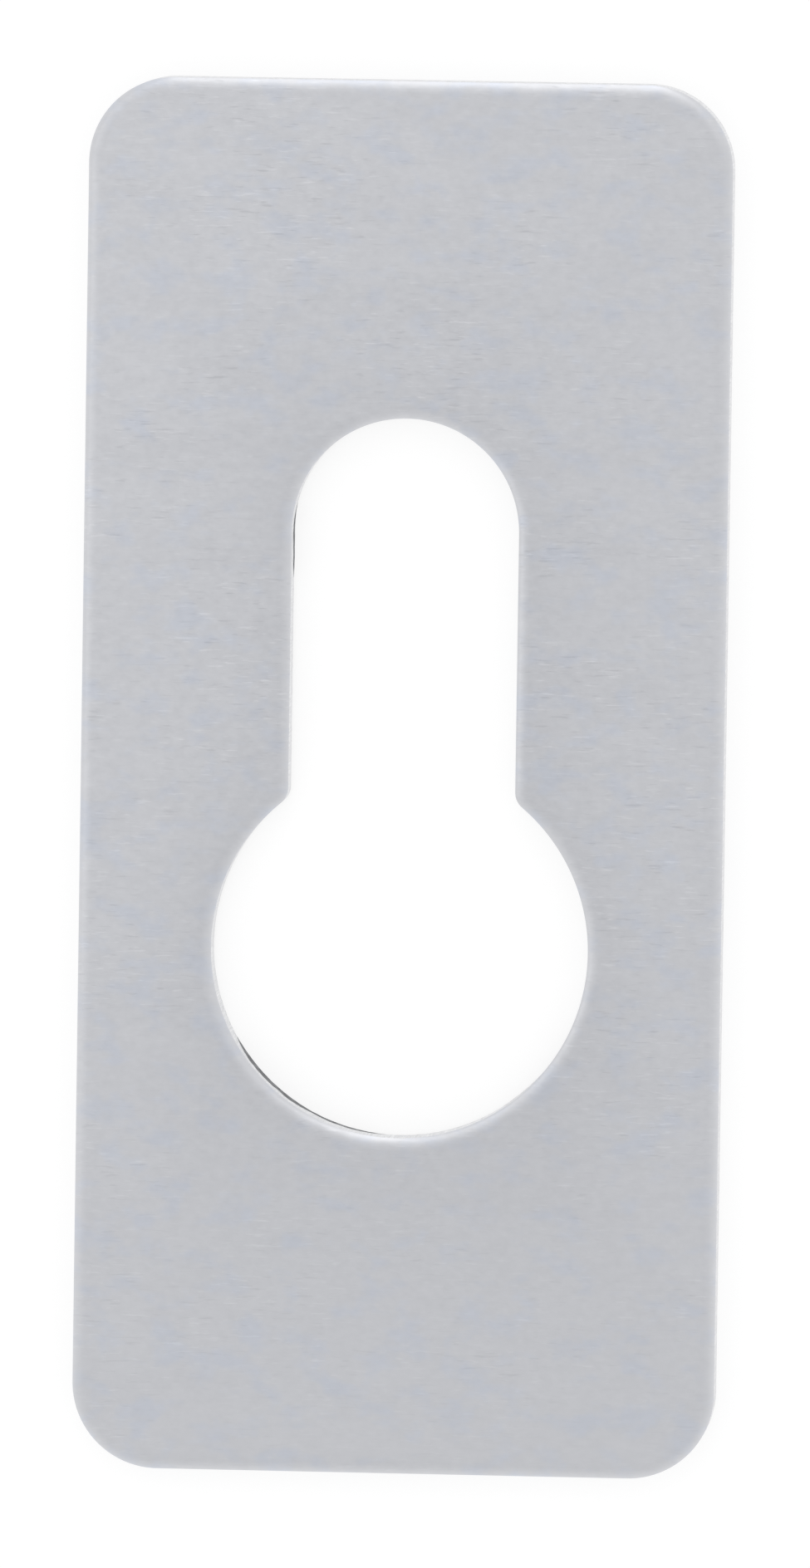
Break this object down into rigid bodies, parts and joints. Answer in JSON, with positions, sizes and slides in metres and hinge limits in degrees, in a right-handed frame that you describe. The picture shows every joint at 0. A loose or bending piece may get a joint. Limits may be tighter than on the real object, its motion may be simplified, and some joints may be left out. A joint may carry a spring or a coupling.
{
  "type": "keyhole escutcheon",
  "caption": "Flat rectangular plate with round corners and a keyhole-shaped opening, which covers the cut-out in a door around a profile lock cylinder.",
  "frame": {"origin": "axis of the lock cylinder's round barrel, in the plane of the plate's back face", "axes": "+Z leaves the visible face, +Y runs from the barrel's bore towards the slot's round end, which is up in the picture, and +X is to the right seen from the front"},
  "size_m": [0.03, 0.065, 0.002],
  "materials": {
    "brushed_aluminium": "finely brushed across the plate, satin"
  },
  "bodies": {
    "root": {"escutcheon_plate": "brushed_aluminium"}
  },
  "joints": []
}
